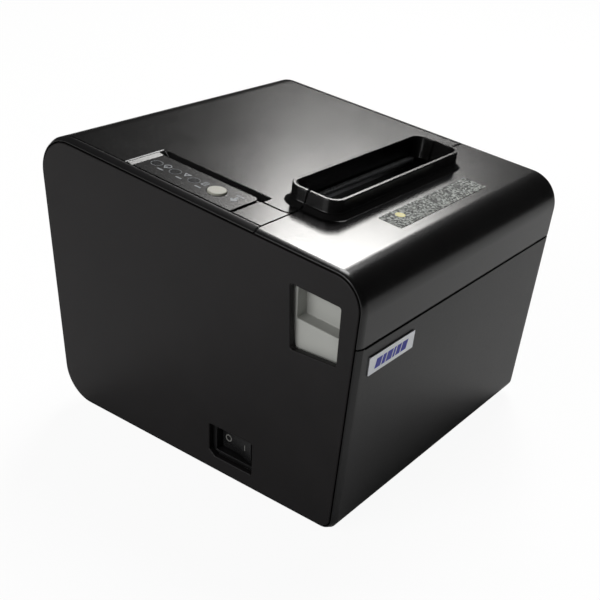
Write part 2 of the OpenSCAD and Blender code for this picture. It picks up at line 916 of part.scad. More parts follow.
module cutter_frame() {
    color(black) on_slope() difference() {
        union() {
            block(-frame_out, frame_out, -76, -40.6, cutter_low - cutter_t, cutter_low);
            both_sides() block(42.6, frame_out, -74, -41, cutter_low - eps, cutter_low + 2.4);
        }
        translate([0, cut_u, cutter_low - cutter_t - 1]) cylinder(h = 5, r = 3);
    }
}

rack_thin = 0.08;
module rack_2d() {
    // teeth point to -X, towards the pinion; a gap lies level with the pinion's axis
    pitch = PI * cut_module;
    tip = 0.45;
    root = 0.95;
    slope = tan(20);
    half = pitch / 4 - rack_thin;
    for (i = [-5:1]) translate([cut_r, cut_u + (i + 0.5) * pitch]) polygon([
        [-tip, -half + tip * slope], [root, -half - root * slope],
        [root, half + root * slope], [-tip, half - tip * slope]]);
}

module moving_blade() {
    color(silver) on_slope() {
        translate([0, 0, blade_h]) linear_extrude(blade_t) {
            difference() {
                polygon([[-42, -56], [42, -56], [42, -37], [0, -39.6], [-42, -37]]);
                for (x = [-30, 30]) translate([x, -48]) circle(3);
            }
            translate([cut_r + 0.9, -74.4]) square([4, 19]);
            rack_2d();
        }
        // bent tail that stiffens the rack
        block(cut_r + 2.9, cut_r + 4.9, -74.4, -57, blade_h + blade_t - eps, blade_h + 3);
    }
}

module cutter_pinion() {
    color(brass) on_slope() translate([0, cut_u, 0]) {
        translate([0, 0, blade_h - 0.1]) linear_extrude(2.6) gear_2d(cut_module, cut_teeth, 1.2);
        translate([0, 0, blade_h - 8]) cylinder(h = 11, r = 1.2);
    }
}

module cutter_motor() {
    top = cutter_low - cutter_t;
    color(steel) on_slope() translate([0, cut_u, 0]) difference() {
        union() {
            translate([0, 0, top - 22]) cylinder(h = 22, r = 8.5);
            translate([0, 0, top - eps]) cylinder(h = 1, r = 2.9);
        }
        translate([0, 0, blade_h - 9]) cylinder(h = 20, r = 1.2 + run_gap);
    }
}

// ---------------------------------------------------------------- lid lock

module lock_shaft() {
    color(steel) on_slope() rod(-64.5, frame_out + 1.5, lock_u, lock_h, lock_r);
}

module lock_arms() {
    // hooks beside the frames; their noses stand just ahead of the platen shaft's path
    color(steel) on_slope() both_sides() along_x(41.6, 43.6) difference() {
        union() {
            translate([lock_u, lock_h]) circle(4);
            polygon([[lock_u - 1, lock_h - 3.8], [lock_u + 6, lock_h - 3.2], [-33.4, -21.5],
                [-33.2, -18], [-32.3, -17], [-32.3, -15.6], [-35.5, -14.4], [-38, -16.6],
                [-40, -19.4], [lock_u, lock_h + 3.9]]);
        }
        translate([lock_u, lock_h]) circle(lock_r);
    }
}

module release_lever() {
    lock_p = flat(lock_u, lock_h);
    back = lever_x + 5.6;
    color(grey) difference() {
        union() {
            // proud lower face with the finger ledge on top
            along_x(lever_x, back + lever_t) plan(lever_y[0], lever_y[1], lever_z[0], ledge_z, 1.2);
            // recessed upper plate and the cheek beside it
            along_x(back, back + lever_t) plan(lever_y[0], lever_y[1], lever_z[0], lever_z[1], 1.2);
            along_x(lever_x, back + 1) plan(lever_y[1] - 5, lever_y[1], 80, lever_z[1], 0.6);
            rod(back + 1, -58, lock_p[0], lock_p[1], 4.6);
        }
        rod(-64.6, -57, lock_p[0], lock_p[1], lock_r);
        // hollow behind the lower face
        along_x(lever_x + 2.4, back + lever_t + 0.5) plan(lever_y[0] + 2, -56, lever_z[0] + 2, 85, 0.8);
    }
}

module lock_spring() {
    color(steel) on_slope() translate([-55, lock_u, lock_h]) rotate([0, 90, 0]) coil(3, 0.7, 6.5, 5);
}

// ---------------------------------------------------------------- paper path

module paper_guide() {
    color(black) on_slope() along_x(-frame_in + 0.1, frame_in - 0.1)
        polygon([[-34, -27.6], [-34.2, -33], [-26, -37.4], [-23.4, -37], [-23.4, -35.6], [-27, -32.6]]);
}

module bucket_2d(r) {
    translate([roll_y, roll_z]) circle(r, $fn = 128);
}

module paper_bucket() {
    out_r = roll_r + bucket_t;
    color(black) difference() {
        union() {
            intersection() {
                along_x(-bucket_hw, bucket_hw) bucket_2d(out_r);
                block(-far, far, -far, far, -far, deck_z + deck_t);
            }
            // deck that closes off the electronics
            block(-wall_in + 0.3, wall_in - 0.3, -16, 74, deck_z, deck_z + deck_t);
        }
        along_x(-bucket_hw + bucket_t, bucket_hw - bucket_t) bucket_2d(roll_r);
        block(-bucket_hw + bucket_t, bucket_hw - bucket_t, roll_y - roll_r, roll_y + roll_r,
            roll_z, far);
        // the front of the bay opens to the paper guide
        block(-bucket_hw + bucket_t, bucket_hw - bucket_t, -far, roll_y - roll_r + 8, 74, far);
        // room for the rear bay's ceiling and the gear side
        block(gear_x0 - 3.2, wall_in + 1, -17, -12, deck_z - 1, far);
        // window for the paper sensor
        along_x(-bucket_hw - 1, -bucket_hw + bucket_t + 1) plan(eye_y[0], eye_y[1], eye_z[0], eye_z[1], 0.5);
    }
}

module paper_end_sensor() {
    color(soft_black) {
        block(-bucket_hw - 6, -bucket_hw, eye_y[0] - 3, eye_y[1] + 3, eye_z[0] - 2, eye_z[1] + 2);
        block(-bucket_hw - eps, -bucket_hw + bucket_t, eye_y[0] + 0.3, eye_y[1] - 0.3,
            eye_z[0] + 0.3, eye_z[1] - 0.3);
        block(-bucket_hw - 11, -bucket_hw - 6 + eps, eye_y[0] + 1, eye_y[1] - 1, eye_z[0], eye_z[1]);
    }
}

// ---------------------------------------------------------------- electronics

module main_board() {
    color(board_green) difference() {
        block(-58, 58, -16, bay_y - 4.5, board_z, board_z + board_t);
        for (p = board_post) translate([p[0], p[1], 0]) cylinder(h = 20, r = screw_r + 0.1);
    }
}

module board_components() {
    top = board_z + board_t;
    color(soft_black) {
        block(-8, 8, 2, 18, top, top + 1.6);
        block(-34, -22, 4, 12, top, top + 1.8);
        block(20, 30, -8, 2, top, top + 1.8);
        block(-48, -40, -14, -6, top, top + 6);
        block(-26, 26, -14.5, -10, top, top + 5);
        block(36, 46, 6, 16, top, top + 3);
    }
    color(steel) {
        translate([-46, 24, top]) cylinder(h = 8.4, r = 5);
        translate([44, 28, top]) cylinder(h = 7.4, r = 4);
        translate([33, 28, top]) cylinder(h = 7.4, r = 4);
    }
}

// A socket block standing on the board, with its mouth facing the rear
module port(i, deep, mouth_w, mouth_t, mouth_z, mouth_deep) {
    x = port_x[i];
    difference() {
        block(x - port_w[i] / 2, x + port_w[i] / 2, port_end - deep, port_end, port_z, port_z + port_t[i]);
        block(x - mouth_w / 2, x + mouth_w / 2, port_end - mouth_deep, port_end + 0.8,
            port_z + mouth_z, port_z + mouth_z + mouth_t);
    }
}

module power_inlet() {
    r_out = 6.4;
    x = port_x[0];
    half = port_w[0] / 2;
    zc = port_z + half;
    color(soft_black) difference() {
        block(x - half, x + half, bay_y - 12, port_end, port_z, port_z + port_t[0]);
        translate([x, bay_y + 3, zc]) rotate([90, 0, 0]) cylinder(h = 9, r = r_out);
    }
    color(brass) for (a = [0, 120, 240]) {
        translate([x + 3 * sin(a), bay_y + 1, zc + 3 * cos(a)]) rotate([90, 0, 0])
            cylinder(h = 7.2, r = 0.6);
    }
}

module usb_port() {
    color(silver) port(1, 16, 8.8, 8, 1.3, 9);
    color(white) block(port_x[1] - 2.8, port_x[1] + 2.8, bay_y - 7, bay_y + 0.6, port_z + 3.9, port_z + 6.7);
}

module ethernet_port() {
    color(silver) port(2, 20, 11.8, 8.4, 2.2, 12);
}

module serial_port() {
    zc = port_z + 6.2;
    x = port_x[3];
    color(silver) {
        block(x - port_w[3] / 2, x + port_w[3] / 2, bay_y - 9, bay_y + 1.2, port_z, port_z + port_t[3]);
        difference() {
            translate([0, bay_y + 6, 0]) rotate([90, 0, 0]) linear_extrude(5) dee(x, zc, 0);
            translate([0, bay_y + 7, 0]) rotate([90, 0, 0]) linear_extrude(5) dee(x, zc, -0.6);
        }
    }
    color(brass) for (i = [-2:2]) translate([x + i * 2.7, bay_y + 4.6, zc + 1.4]) rotate([90, 0, 0])
        cylinder(h = 3.6, r = 0.5);
    color(brass) for (i = [-1.5:1:1.5]) translate([x + i * 2.7, bay_y + 4.6, zc - 1.4]) rotate([90, 0, 0])
        cylinder(h = 3.6, r = 0.5);
}

module dee(x, z, g) {
    polygon([[x - 8.3 - g, z + 3.9 + g], [x + 8.3 + g, z + 3.9 + g], [x + 7 + g, z - 3.9 - g],
        [x - 7 - g, z - 3.9 - g]]);
}

module drawer_port() {
    color(black) port(4, 17, 9.8, 7, 2.4, 12);
}

module connector_plate() {
    color(steel) difference() {
        block(-bay_hw + 0.6, bay_hw - 0.6, bay_y, bay_y + 1, 7.6, bay_z - 1);
        for (i = [0:4]) plate_hole(port_x[i], port_w[i], port_t[i]);
    }
}

module plate_hole(x, w, t) {
    block(x - w / 2 - 0.2, x + w / 2 + 0.2, bay_y - 1, bay_y + 2, port_z - 0.2, port_z + t + 0.2);
}

module power_switch() {
    w = switch_w - 0.6;
    t = switch_t - 0.6;
    color(black) difference() {
        union() {
            block(-panel_in, -wall_in - 0.4, switch_y - w / 2, switch_y + w / 2,
                switch_z - t / 2, switch_z + t / 2);
            block(-wall_in - 1, -wall_in + switch_deep, switch_y - w / 2 + 0.3, switch_y + w / 2 - 0.3,
                switch_z - t / 2 + 0.4, switch_z + t / 2 - 0.4);
        }
        block(-hw, rocker_x + 5, switch_y - rocker_w / 2 - 0.8, switch_y + rocker_w / 2 + 0.8,
            switch_z - rocker_t / 2 - 0.3, switch_z + rocker_t / 2 + 0.3);
        translate([rocker_x + 2, switch_y, switch_z - t / 2 - 1]) cylinder(h = t + 2, r = 0.8 + run_gap);
    }
    color(brass) for (y = [-6, 6]) {
        block(-wall_in + switch_deep, -wall_in + switch_deep + 4, switch_y + y - 0.4,
            switch_y + y + 0.4, switch_z - 1.9, switch_z + 1.9);
    }
}

module power_rocker() {
    half_w = rocker_w / 2;
    end_t = 1.5;
    mid_t = 0.6;
    color(soft_black) translate([rocker_x + 2, switch_y, switch_z]) rotate([0, 0, -rocker_turn]) {
        translate([0, 0, -rocker_t / 2]) linear_extrude(rocker_t) polygon([
            [-3.2 - end_t, -half_w], [-3.2 - mid_t, 0], [-3.2 - end_t, half_w],
            [-2.6, half_w], [1.6, 2.4], [1.6, -2.4], [-2.6, -half_w]]);
        translate([0, 0, -rocker_t / 2 - 1.1]) cylinder(h = rocker_t + 2.2, r = 0.8);
    }
}

// Insulated wire that arches from one point to another
module wire(from, to, rise) {
    steps = 12;
    span = to - from;
    tube([for (k = [0:steps]) from + span * k / steps + [0, 0, rise * sin(180 * k / steps)]],
        wire_r, 12, [span[1], -span[0], 0]);
}

wire_r = 0.8;
module switch_wires() {
    start_x = -wall_in + switch_deep + 4.9;
    plug_z = port_z + 6 + wire_r;
    color("darkred") wire([start_x, switch_y - 6, switch_z], [-43.5, -9.5, plug_z], 4);
    color("black") wire([start_x, switch_y + 6, switch_z], [-47, -11.5, plug_z], 4);
}

module head_cable() {
    // flat cable from the print head down to the board
    t = 0.35;
    p = flat(-39, -31.4);
    a = [p, [p[0] + 0.5, 50], [-30, 26], [-14, 17.5], [-12, 16.1]];
    b = [for (i = [len(a) - 1:-1:0]) a[i] + [-t, -t]];
    color(ivory) along_x(-24, 12) polygon(concat(a, b));
}

// ---------------------------------------------------------------- fasteners

// Pan-head screw with a cross recess, its head's underside at z = 0, pointing down
module screw() {
    difference() {
        union() {
            translate([0, 0, -screw_l]) cylinder(h = screw_l + eps, r = screw_r);
            cylinder(h = screw_head_t, r = screw_head_r);
        }
        for (a = [0, 90]) rotate(a) translate([-screw_head_r * 0.6, -0.25, screw_head_t / 2])
            cube([screw_head_r * 1.2, 0.5, screw_head_t]);
    }
}

module frame_screws() {
    color(steel) both_sides() for (p = frame_foot) {
        translate([p[0], p[1], frame_z + frame_t]) screw();
    }
}

module board_screws() {
    color(steel) for (p = board_post) {
        translate([p[0], p[1], board_z + board_t]) screw();
    }
}

lower_casing();
upper_front_cover();
lid();
left_side_panel();
right_side_panel();
rubber_feet();
control_tray();
control_plate();
power_light();
error_light();
paper_light();
feed_button();
panel_board();
feed_switch();
badge_plate();
speckle_label();
tear_bar();
hinge_pins();
platen_holder();
fixed_blade();
platen_shaft();
platen_rubber();
platen_gear();
platen_bushes();
side_frame_left();
side_frame_right();
cross_plate();
print_head();
heat_sink();
head_springs();
idler_gear();
idler_stud();
feed_motor();
motor_pinion();
cutter_frame();
moving_blade();
cutter_pinion();
cutter_motor();
lock_shaft();
lock_arms();
release_lever();
lock_spring();
paper_guide();
paper_bucket();
paper_end_sensor();
main_board();
board_components();
power_inlet();
usb_port();
ethernet_port();
serial_port();
drawer_port();
connector_plate();
power_switch();
power_rocker();
switch_wires();
head_cable();
frame_screws();
board_screws();
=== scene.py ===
import json
import math

import bmesh
import bpy
from mathutils import Matrix, Vector, geometry


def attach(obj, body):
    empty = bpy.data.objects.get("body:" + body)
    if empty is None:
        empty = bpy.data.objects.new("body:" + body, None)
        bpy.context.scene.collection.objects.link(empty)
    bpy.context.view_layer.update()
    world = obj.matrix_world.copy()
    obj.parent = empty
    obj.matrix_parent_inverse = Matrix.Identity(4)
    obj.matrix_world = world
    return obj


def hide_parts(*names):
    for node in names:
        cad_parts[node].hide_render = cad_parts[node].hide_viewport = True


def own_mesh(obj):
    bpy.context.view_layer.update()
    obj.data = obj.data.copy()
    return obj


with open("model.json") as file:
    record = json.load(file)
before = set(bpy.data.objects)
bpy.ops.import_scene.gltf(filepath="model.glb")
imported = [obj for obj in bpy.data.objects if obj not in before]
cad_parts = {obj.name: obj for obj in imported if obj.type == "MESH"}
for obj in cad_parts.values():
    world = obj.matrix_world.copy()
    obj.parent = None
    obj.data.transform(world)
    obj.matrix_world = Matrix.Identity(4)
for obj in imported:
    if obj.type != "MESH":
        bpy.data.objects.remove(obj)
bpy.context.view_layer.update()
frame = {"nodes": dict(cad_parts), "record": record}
nodes = frame["nodes"]
MM = 0.001


# ------------------------------------------------------------------ shader kit

class Value:
    """A node socket that can be used in arithmetic."""

    def __init__(self, tree, socket):
        self.tree = tree
        self.socket = socket

    def _math(self, operation, first, second=None):
        node = self.tree.nodes.new("ShaderNodeMath")
        node.operation = operation
        for slot, operand in enumerate((first, second)):
            if isinstance(operand, Value):
                self.tree.links.new(operand.socket, node.inputs[slot])
            elif operand is not None:
                node.inputs[slot].default_value = operand
        return Value(self.tree, node.outputs[0])

    def __add__(self, other): return self._math("ADD", self, other)
    def __radd__(self, other): return self._math("ADD", other, self)
    def __sub__(self, other): return self._math("SUBTRACT", self, other)
    def __rsub__(self, other): return self._math("SUBTRACT", other, self)
    def __mul__(self, other): return self._math("MULTIPLY", self, other)
    def __rmul__(self, other): return self._math("MULTIPLY", other, self)
    def __truediv__(self, other): return self._math("DIVIDE", self, other)
    def __pow__(self, other): return self._math("POWER", self, other)
    def below(self, limit): return self._math("LESS_THAN", self, limit)
    def at_most(self, limit): return self._math("MINIMUM", self, limit)
    def at_least(self, limit): return self._math("MAXIMUM", self, limit)
    def clamped(self): return self.at_least(0.0).at_most(1.0)


class Finish:
    """One material and the nodes that make it."""

    PER_METRE = 1000

    def __init__(self, name):
        self.material = bpy.data.materials.new(name)
        self.material.use_nodes = True
        self.tree = self.material.node_tree
        self.shader = self.tree.nodes["Principled BSDF"]

    def node(self, kind, settings=None, **inputs):
        made = self.tree.nodes.new(kind)
        for key, setting in (settings or {}).items():
            setattr(made, key, setting)
        for key, given in inputs.items():
            self.feed(made.inputs[key.replace("_", " ")], given)
        return made

    def feed(self, socket, given):
        if isinstance(given, Value):
            self.tree.links.new(given.socket, socket)
        elif isinstance(given, bpy.types.NodeSocket):
            self.tree.links.new(given, socket)
        else:
            socket.default_value = (*given, 1.0) if socket.type == "RGBA" and len(given) == 3 else given

    def value(self, socket):
        return Value(self.tree, socket)

    def place(self):
        return self.node("ShaderNodeTexCoord").outputs["Object"]

    def noise(self, per_mm, detail=3.0, roughness=0.55, place=None):
        """Noise of mean 0.5, with about per_mm cells to the millimetre."""
        made = self.node("ShaderNodeTexNoise", Vector=place or self.place(), Scale=per_mm * self.PER_METRE,
                         Detail=detail, Roughness=roughness)
        return self.value(made.outputs["Fac"])

    def cells(self, per_mm, feature="F1"):
        return self.node("ShaderNodeTexVoronoi", {"feature": feature}, Vector=self.place(),
                         Scale=per_mm * self.PER_METRE)

    def stretched(self, x, y, z):
        """Object position with other scales along the axes, for streaks."""
        made = self.node("ShaderNodeMapping", Vector=self.place())
        made.inputs["Scale"].default_value = (x, y, z)
        return made.outputs["Vector"]

    def mix(self, share, low, high):
        """Colour between low and high."""
        made = self.node("ShaderNodeMix", {"data_type": "RGBA"})
        factor, colour_a, colour_b, mixed = 0, 6, 7, 2
        self.feed(made.inputs[factor], share)
        self.feed(made.inputs[colour_a], low)
        self.feed(made.inputs[colour_b], high)
        return made.outputs[mixed]

    def base(self, colour):
        self.feed(self.shader.inputs["Base Color"], colour)
        return self

    def rough(self, roughness):
        self.feed(self.shader.inputs["Roughness"], roughness)
        return self

    def bump(self, height, depth_mm, strength=1.0):
        made = self.node("ShaderNodeBump", Strength=strength, Distance=depth_mm * MM, Height=height)
        self.feed(self.shader.inputs["Normal"], made.outputs["Normal"])
        return self

    def set(self, **constants):
        for key, constant in constants.items():
            self.feed(self.shader.inputs[key.replace("_", " ")], constant)
        return self


def moulded_plastic(name, colour, roughness, grain_depth=0.02, grain_per_mm=1.6, tone=0.16, sheen=0.5):
    """Moulded plastic with a spark texture and a slightly cloudy tone; grain_depth is in millimetres."""
    f = Finish(name)
    cloud = f.noise(0.05, 4.0)
    grain = f.noise(grain_per_mm, 2.0, 0.6)
    pale = tuple(min(1.0, c * (1 + tone) + 0.006 * tone) for c in colour)
    dark = tuple(c * (1 - tone) for c in colour)
    f.base(f.mix((cloud * 1.6 - 0.3).clamped(), dark, pale))
    f.rough((roughness + (cloud - 0.5) * 0.05 + (grain - 0.5) * 0.14).clamped())
    f.set(Specular_IOR_Level=sheen)
    f.bump(grain, grain_depth)
    return f


def brushed_metal(name, colour, roughness, streak=(1, 30, 30), depth=0.004):
    """Metal with fine lines along the axis whose streak is smallest."""
    f = Finish(name)
    lines = f.noise(0.35, 3.0, 0.6, f.stretched(*streak))
    cloud = f.noise(0.06, 3.0)
    low = tuple(c * 0.82 for c in colour)
    f.base(f.mix((lines * 0.7 + cloud * 0.5 - 0.1).clamped(), low, colour))
    f.rough((roughness + (lines - 0.5) * 0.25).clamped())
    f.set(Metallic=1.0)
    f.bump(lines, depth)
    return f


def speckled_foil(name):
    """Silver label film, broken into fine bright and dark flakes."""
    f = Finish(name)
    flakes = f.cells(1.5)
    shade = f.value(f.node("ShaderNodeSeparateColor", Color=flakes.outputs["Color"]).outputs[0])
    fine = f.noise(3.0, 2.0)
    f.base(f.mix(shade ** 1.8, (0.01, 0.011, 0.01), (0.62, 0.65, 0.62)))
    f.rough((0.6 + shade * 0.2 + (fine - 0.5) * 0.2).clamped())
    f.set(Specular_IOR_Level=0.3)
    f.bump(shade, 0.02)
    return f


def circuit_board(name):
    """Green board with paler lines."""
    f = Finish(name)
    tracks = f.cells(0.35, "DISTANCE_TO_EDGE")
    line = f.value(tracks.outputs["Distance"]).below(0.12)
    cloud = f.noise(0.2, 3.0)
    f.base(f.mix(line * 0.6, (0.015, 0.10, 0.045), (0.03, 0.2, 0.09)))
    f.rough((0.32 + (cloud - 0.5) * 0.2).clamped())
    f.bump(line, 0.02)
    return f


def lamp_plastic(name, colour, sheen=0.5):
    """Smooth, slightly clouded material of the lights' lenses and of the head's ceramic."""
    f = Finish(name)
    cloud = f.noise(0.6, 2.0)
    fine = f.noise(3.0, 2.0)
    f.base(f.mix(cloud, tuple(c * 0.85 for c in colour), colour))
    f.rough((0.28 + (fine - 0.5) * 0.2).clamped())
    f.set(Subsurface_Weight=0.12, Subsurface_Radius=(0.002, 0.002, 0.002), Specular_IOR_Level=sheen)
    f.bump(fine, 0.006)
    return f


FINISHES = {
    "casing": moulded_plastic("casing_black", (0.0075, 0.0073, 0.0077), 0.34, 0.010, sheen=0.4),
    "covers": moulded_plastic("cover_satin_black", (0.005, 0.0048, 0.0049), 0.23, 0.0045, 1.2),
    "panels": moulded_plastic("panel_black", (0.0072, 0.0062, 0.0065), 0.46, 0.008, 2.0, sheen=0.24),
    "rubber": moulded_plastic("foot_rubber", (0.02, 0.02, 0.02), 0.8, 0.03, 1.5),
    "panel_plate": moulded_plastic("plate_black", (0.007, 0.007, 0.0074), 0.25, 0.0015, 1.4),
    "lens": lamp_plastic("light_lens", (0.015, 0.016, 0.018), 0.15),
    "button": moulded_plastic("button_ivory", (0.46, 0.455, 0.39), 0.42, 0.008, 3.0, 0.05),
    "silver_label": brushed_metal("label_silver", (0.88, 0.90, 0.93), 0.42, (30, 30, 1), 0.002),
    "steel": brushed_metal("sheet_steel", (0.52, 0.53, 0.54), 0.34),
    "blade_steel": brushed_metal("ground_steel", (0.60, 0.61, 0.62), 0.24, (40, 1, 40)),
    "brass": brushed_metal("turned_brass", (0.62, 0.44, 0.17), 0.3, (30, 1, 1)),
    "aluminium": brushed_metal("heat_sink_aluminium", (0.66, 0.67, 0.68), 0.36, (1, 20, 20)),
    "gear_plastic": moulded_plastic("gear_acetal", (0.72, 0.71, 0.66), 0.4, 0.008, 3.0, 0.06),
    "ceramic": lamp_plastic("head_ceramic", (0.6, 0.52, 0.38)),
    "frame_plastic": moulded_plastic("inner_black", (0.02, 0.02, 0.0205), 0.5, 0.02),
    "grey_plastic": moulded_plastic("lever_grey", (0.40, 0.405, 0.38), 0.5, 0.014, 2.5, 0.07),
    "board": circuit_board("board_green"),
    "chips": moulded_plastic("chip_black", (0.018, 0.018, 0.018), 0.45, 0.01, 3.0),
    "motor_can": brushed_metal("motor_steel", (0.48, 0.48, 0.49), 0.38, (20, 1, 1)),
    "port_shell": brushed_metal("plated_shell", (0.66, 0.66, 0.68), 0.22, (1, 30, 30), 0.002),
    "wire": moulded_plastic("wire_jacket", (0.16, 0.012, 0.012), 0.4, 0.004, 3.0, 0.1),
    "flex": moulded_plastic("flat_cable", (0.50, 0.40, 0.20), 0.35, 0.004, 3.0, 0.08),
}


BODIES = frame["record"]["behaviour"]["bodies"]
BODY_OF = {node: body for body, members in BODIES.items() for node in members}
SLOT_OF = {entry["node"]: entry["material_slot"] for entry in frame["record"]["subparts"]}


def dress_cad_nodes():
    """Every node of the model takes the finish of its slot, and the label its own foil."""
    for name, piece in nodes.items():
        piece.data.materials.clear()
        piece.data.materials.append(FINISHES[SLOT_OF[name]].material)
    nodes["speckle_label"].data.materials[0] = speckled_foil("label_foil").material


# ------------------------------------------------------------------ making pieces

SHARP = math.radians(30)  # edges with a larger angle stay sharp in the shading
EASED_FROM = math.radians(34)  # edges with a larger angle are rounded
ONE_FLAT = math.radians(0.5)  # faces with a smaller angle between them are joined
SAME_SPOT = 2e-6


def smooth_flats(bm):
    for face in bm.faces:
        face.smooth = True
    for edge in bm.edges:
        if len(edge.link_faces) == 2:
            edge.smooth = edge.calc_face_angle() < SHARP


def round_off(piece, radius_mm):
    ease = piece.modifiers.new("eased_edges", "BEVEL")
    ease.width = radius_mm * MM
    ease.segments = 2
    ease.limit_method = "ANGLE"
    ease.angle_limit = EASED_FROM
    ease.use_clamp_overlap = False
    ease.miter_outer = "MITER_ARC"
    normals = piece.modifiers.new("flat_normals", "WEIGHTED_NORMAL")
    normals.keep_sharp = True


def stand(name, mesh, body):
    """Puts a mesh into the scene as a piece that moves with a body."""
    piece = bpy.data.objects.new(name, mesh)
    bpy.context.scene.collection.objects.link(piece)
    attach(piece, body)
    return piece


def closed_mesh(bm, name, finish):
    bmesh.ops.recalc_face_normals(bm, faces=bm.faces)
    mesh = bpy.data.meshes.new(name)
    bm.to_mesh(mesh)
    bm.free()
    mesh.materials.append(finish.material)
    return mesh


def join_rings(bm, bottom, top):
    """Walls between two rings of points."""
    count = len(bottom)
    for a in range(count):
        b = (a + 1) % count
        bm.faces.new((bottom[a], bottom[b], top[b], top[a]))


def eased_edges(node, radius_mm, reshape=None, join_flats=True):
    """The moulding of a node with its flats joined up and its edges rounded."""
    mesh = nodes[node].data.copy()
    mesh.materials.clear()
    bm = bmesh.new()
    bm.from_mesh(mesh)
    bmesh.ops.remove_doubles(bm, verts=bm.verts, dist=SAME_SPOT)
    if reshape:
        for vert in bm.verts:
            reshape(vert.co)
    if join_flats:
        bmesh.ops.dissolve_limit(bm, angle_limit=ONE_FLAT, verts=bm.verts, edges=bm.edges)
    smooth_flats(bm)
    bm.to_mesh(mesh)
    bm.free()
    if "custom_normal" in mesh.attributes:
        mesh.attributes.remove(mesh.attributes["custom_normal"])
    mesh.materials.append(FINISHES[SLOT_OF[node]].material)
    piece = stand(node + "_moulding", mesh, BODY_OF[node])
    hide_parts(node)
    round_off(piece, radius_mm)


def disc(cx, cy, r, steps=40):
    turns = [2 * math.pi * k / steps for k in range(steps)]
    return [(cx + r * math.cos(a), cy + r * math.sin(a)) for a in turns]


def oblong(cx, cy, w, h):
    return [(cx + sx * w / 2, cy + sy * h / 2) for sx, sy in ((-1, -1), (1, -1), (1, 1), (-1, 1))]


def printed(name, outlines, place, low, high, body, slot, finish):
    """Thin raised ink or sheet. Each outline is a list of loops: the outer one, then its holes."""
    bm = bmesh.new()
    for loops in outlines:
        flat = [point for loop in loops for point in loop]
        bottom = [bm.verts.new(place(x, y, low)) for x, y in flat]
        top = [bm.verts.new(place(x, y, high)) for x, y in flat]
        for tri in geometry.tessellate_polygon([[Vector((x, y, 0)) for x, y in loop] for loop in loops]):
            bm.faces.new([top[i] for i in tri])
            bm.faces.new([bottom[i] for i in reversed(tri)])
        first = 0
        for loop in loops:
            last = first + len(loop)
            join_rings(bm, bottom[first:last], top[first:last])
            first = last
    return stand(name, closed_mesh(bm, name, finish), body)


# ------------------------------------------------------------------ control panel

TOP_TILT = math.radians(6)
TOP_HEIGHT = 117.1
PLATE_LEVEL = -0.3  # upper face of the plate, over the sloping top
CAD_PLATE_LEVEL = -1.1  # the same face in the solids
PLATE_THICKNESS = 1.2
PLATE_SIDES = (-67.6, -51.0)
PLATE_ENDS = (-18.3, 31.3)
PLATE_CORNER = 2.4
LIGHTS_X = -58.9
LIGHTS_UP = (27.0, 17.2, 7.4)
LIGHT_HOLE = 2.2
BUTTON_AT = (-59.2, -4.5)
BUTTON_HOLE = 3.85
INK_LEVELS = (-0.04, 0.05)


def on_top(x, up_slope, level):
    """A point on the sloping top: millimetres across, up the slope, and over the surface."""
    return Vector((x, up_slope * math.cos(TOP_TILT) - level * math.sin(TOP_TILT),
                   TOP_HEIGHT + up_slope * math.sin(TOP_TILT) + level * math.cos(TOP_TILT))) * MM


def lift_to_plate(co):
    """Raises the top of a light or of the button along with the plate."""
    level = (co.z - TOP_HEIGHT * MM) * math.cos(TOP_TILT) - co.y * math.sin(TOP_TILT)
    if level > (CAD_PLATE_LEVEL - 1.0) * MM:
        rise = (PLATE_LEVEL - CAD_PLATE_LEVEL) * MM
        co.y -= rise * math.sin(TOP_TILT)
        co.z += rise * math.cos(TOP_TILT)


def control_plate():
    """The panel's plate, nearly flush with the top, with holes for the lights and the button."""
    outer, inner = PLATE_SIDES
    front, rear = PLATE_ENDS
    corner_x, corner_up = inner - PLATE_CORNER, front + PLATE_CORNER
    edge = [(outer, front), (corner_x, front)]
    for step in range(1, 8):
        a = math.radians(12 * step)
        edge.append((corner_x + PLATE_CORNER * math.sin(a), corner_up - PLATE_CORNER * math.cos(a)))
    edge += [(inner, rear), (outer, rear)]
    holes = [disc(LIGHTS_X, up, LIGHT_HOLE) for up in LIGHTS_UP] + [disc(*BUTTON_AT, BUTTON_HOLE, 56)]
    plate = printed("plate_sheet", [[edge] + holes], on_top, PLATE_LEVEL - PLATE_THICKNESS, PLATE_LEVEL,
                    "casing", "panel_plate", FINISHES["panel_plate"])
    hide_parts("control_plate")
    round_off(plate, 0.14)


def pocket_ramp():
    """Slope from the lid's top down to the rear edge of the plate."""
    side = [(34.1, -0.08), (31.5, -0.62), (31.5, -1.2), (34.1, -0.7)]
    bm = bmesh.new()
    left, right = [[bm.verts.new(on_top(x, up, level)) for up, level in side] for x in (-67.6, -50.7)]
    bm.faces.new(left)
    bm.faces.new(reversed(right))
    join_rings(bm, left, right)
    ramp = stand("pocket_ramp", closed_mesh(bm, "pocket_ramp", FINISHES["casing"]), "lid")
    round_off(ramp, 0.12)


def power_symbol(up):
    return [[disc(up, -1.2, 1.6), disc(up, -1.2, 1.15)], [oblong(up, 0.1, 0.5, 1.9)]]


def fault_symbol(up):
    outside = [(up - 1.7, -2.5), (up + 1.7, -2.5), (up, 0.4)]
    inside = [(up - 0.8, -1.95), (up + 0.8, -1.95), (up, -0.6)]
    return [[outside, inside]]


def paper_symbol(up):
    lines = [[oblong(up, out, 1.0, 0.35)] for out in (-1.7, -0.8)]
    return [[oblong(up, -1.2, 2.3, 3.2), oblong(up, -1.2, 1.6, 2.5)]] + lines


def feed_symbol(up):
    arrow_head = [(up - 1.9, 0.3), (up + 1.9, 0.3), (up, 2.5)]
    return [[arrow_head], [oblong(up, -0.9, 1.2, 2.4)], [oblong(up, -3.2, 3.8, 0.7)]]


